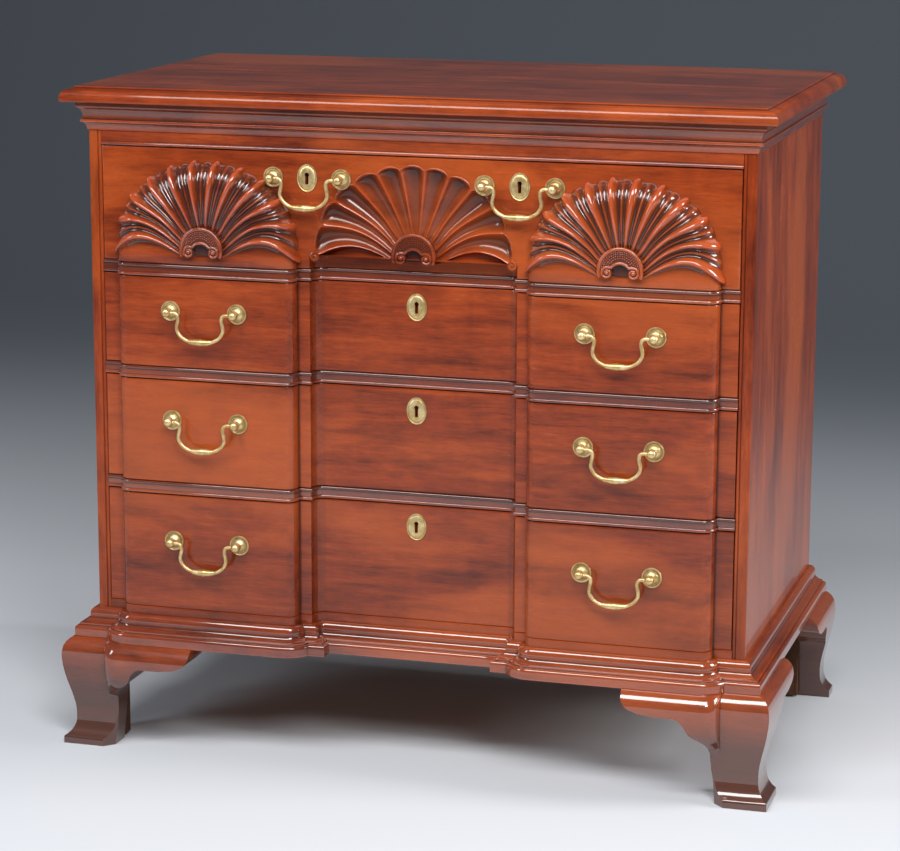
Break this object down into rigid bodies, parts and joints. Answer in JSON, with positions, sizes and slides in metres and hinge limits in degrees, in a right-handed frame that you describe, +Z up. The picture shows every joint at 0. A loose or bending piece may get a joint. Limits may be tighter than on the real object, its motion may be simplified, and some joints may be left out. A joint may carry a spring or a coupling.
{
  "type": "chest of drawers",
  "caption": "Chest of drawers with a blocked front, carved shells, a moulded top and base, ogee bracket feet, sliding locking drawers and swinging bail handles.",
  "frame": {"origin": "middle of the footprint box of the whole chest, on the floor", "axes": "+X to the right along the width, +Y towards the back, +Z up; the drawers face -Y"},
  "size_m": [0.955, 0.5656, 0.88],
  "materials": {
    "mahogany": "polished",
    "secondary_wood": "plain",
    "brass": "polished",
    "lock_iron": "dull"
  },
  "bodies": {
    "case": {"top_board": "mahogany", "cove_moulding": "mahogany", "base_moulding": "mahogany", "case_side_left": "mahogany", "case_side_right": "mahogany", "top_rail": "mahogany", "drawer_divider_1": "mahogany", "drawer_divider_2": "mahogany", "drawer_divider_3": "mahogany", "bottom_rail": "mahogany", "front_left_foot": "mahogany", "front_right_foot": "mahogany", "rear_left_foot": "mahogany", "rear_right_foot": "mahogany", "rear_top_rail": "secondary_wood", "drawer_runners": "secondary_wood", "drawer_kickers": "secondary_wood", "drawer_stops": "secondary_wood", "case_bottom": "secondary_wood", "back_boards": "secondary_wood", "foot_glue_blocks": "secondary_wood"},
    "drawer_1": {"drawer_1_front": "mahogany", "drawer_1_box": "secondary_wood", "drawer_1_bottom": "secondary_wood", "drawer_1_handle_posts": "brass", "drawer_1_escutcheon": "brass", "drawer_1_lock": "lock_iron", "shell_left": "mahogany", "shell_right": "mahogany"},
    "drawer_1_bail_left": {"drawer_1_bail_left": "brass"},
    "drawer_1_bail_right": {"drawer_1_bail_right": "brass"},
    "lock_bolt_1_left": {"lock_bolt_1_left": "lock_iron"},
    "lock_bolt_1_right": {"lock_bolt_1_right": "lock_iron"},
    "drawer_2": {"drawer_2_front": "mahogany", "drawer_2_box": "secondary_wood", "drawer_2_bottom": "secondary_wood", "drawer_2_handle_posts": "brass", "drawer_2_escutcheon": "brass", "drawer_2_lock": "lock_iron"},
    "drawer_2_bail_left": {"drawer_2_bail_left": "brass"},
    "drawer_2_bail_right": {"drawer_2_bail_right": "brass"},
    "lock_bolt_2": {"lock_bolt_2": "lock_iron"},
    "drawer_3": {"drawer_3_front": "mahogany", "drawer_3_box": "secondary_wood", "drawer_3_bottom": "secondary_wood", "drawer_3_handle_posts": "brass", "drawer_3_escutcheon": "brass", "drawer_3_lock": "lock_iron"},
    "drawer_3_bail_left": {"drawer_3_bail_left": "brass"},
    "drawer_3_bail_right": {"drawer_3_bail_right": "brass"},
    "lock_bolt_3": {"lock_bolt_3": "lock_iron"},
    "drawer_4": {"drawer_4_front": "mahogany", "drawer_4_box": "secondary_wood", "drawer_4_bottom": "secondary_wood", "drawer_4_handle_posts": "brass", "drawer_4_escutcheon": "brass", "drawer_4_lock": "lock_iron"},
    "drawer_4_bail_left": {"drawer_4_bail_left": "brass"},
    "drawer_4_bail_right": {"drawer_4_bail_right": "brass"},
    "lock_bolt_4": {"lock_bolt_4": "lock_iron"}
  },
  "joints": [
    {"name": "drawer_1_slide", "type": "slide", "parent": "case", "child": "drawer_1", "axis": [0, -1, 0], "range_m": [0, 0.34]},
    {"name": "drawer_1_bail_left_hinge", "type": "hinge", "parent": "drawer_1", "child": "drawer_1_bail_left", "pos_m": [-0.1398, -0.23825, 0.771], "axis": [-1, 0, 0], "range_deg": [-12, 165]},
    {"name": "drawer_1_bail_right_hinge", "type": "hinge", "parent": "drawer_1", "child": "drawer_1_bail_right", "pos_m": [0.1398, -0.23825, 0.771], "axis": [-1, 0, 0], "range_deg": [-12, 165]},
    {"name": "lock_bolt_1_left_slide", "type": "slide", "parent": "drawer_1", "child": "lock_bolt_1_left", "axis": [0, 0, 1], "range_m": [0, 0.008]},
    {"name": "lock_bolt_1_right_slide", "type": "slide", "parent": "drawer_1", "child": "lock_bolt_1_right", "axis": [0, 0, 1], "range_m": [0, 0.008]},
    {"name": "drawer_2_slide", "type": "slide", "parent": "case", "child": "drawer_2", "axis": [0, -1, 0], "range_m": [0, 0.34]},
    {"name": "drawer_2_bail_left_hinge", "type": "hinge", "parent": "drawer_2", "child": "drawer_2_bail_left", "pos_m": [-0.27525, -0.25825, 0.594], "axis": [-1, 0, 0], "range_deg": [-12, 165]},
    {"name": "drawer_2_bail_right_hinge", "type": "hinge", "parent": "drawer_2", "child": "drawer_2_bail_right", "pos_m": [0.27525, -0.25825, 0.594], "axis": [-1, 0, 0], "range_deg": [-12, 165]},
    {"name": "lock_bolt_2_slide", "type": "slide", "parent": "drawer_2", "child": "lock_bolt_2", "axis": [0, 0, 1], "range_m": [0, 0.008]},
    {"name": "drawer_3_slide", "type": "slide", "parent": "case", "child": "drawer_3", "axis": [0, -1, 0], "range_m": [0, 0.34]},
    {"name": "drawer_3_bail_left_hinge", "type": "hinge", "parent": "drawer_3", "child": "drawer_3_bail_left", "pos_m": [-0.27525, -0.25825, 0.44975], "axis": [-1, 0, 0], "range_deg": [-12, 165]},
    {"name": "drawer_3_bail_right_hinge", "type": "hinge", "parent": "drawer_3", "child": "drawer_3_bail_right", "pos_m": [0.27525, -0.25825, 0.44975], "axis": [-1, 0, 0], "range_deg": [-12, 165]},
    {"name": "lock_bolt_3_slide", "type": "slide", "parent": "drawer_3", "child": "lock_bolt_3", "axis": [0, 0, 1], "range_m": [0, 0.008]},
    {"name": "drawer_4_slide", "type": "slide", "parent": "case", "child": "drawer_4", "axis": [0, -1, 0], "range_m": [0, 0.34]},
    {"name": "drawer_4_bail_left_hinge", "type": "hinge", "parent": "drawer_4", "child": "drawer_4_bail_left", "pos_m": [-0.27525, -0.25825, 0.2875], "axis": [-1, 0, 0], "range_deg": [-12, 165]},
    {"name": "drawer_4_bail_right_hinge", "type": "hinge", "parent": "drawer_4", "child": "drawer_4_bail_right", "pos_m": [0.27525, -0.25825, 0.2875], "axis": [-1, 0, 0], "range_deg": [-12, 165]},
    {"name": "lock_bolt_4_slide", "type": "slide", "parent": "drawer_4", "child": "lock_bolt_4", "axis": [0, 0, 1], "range_m": [0, 0.008]}
  ]
}
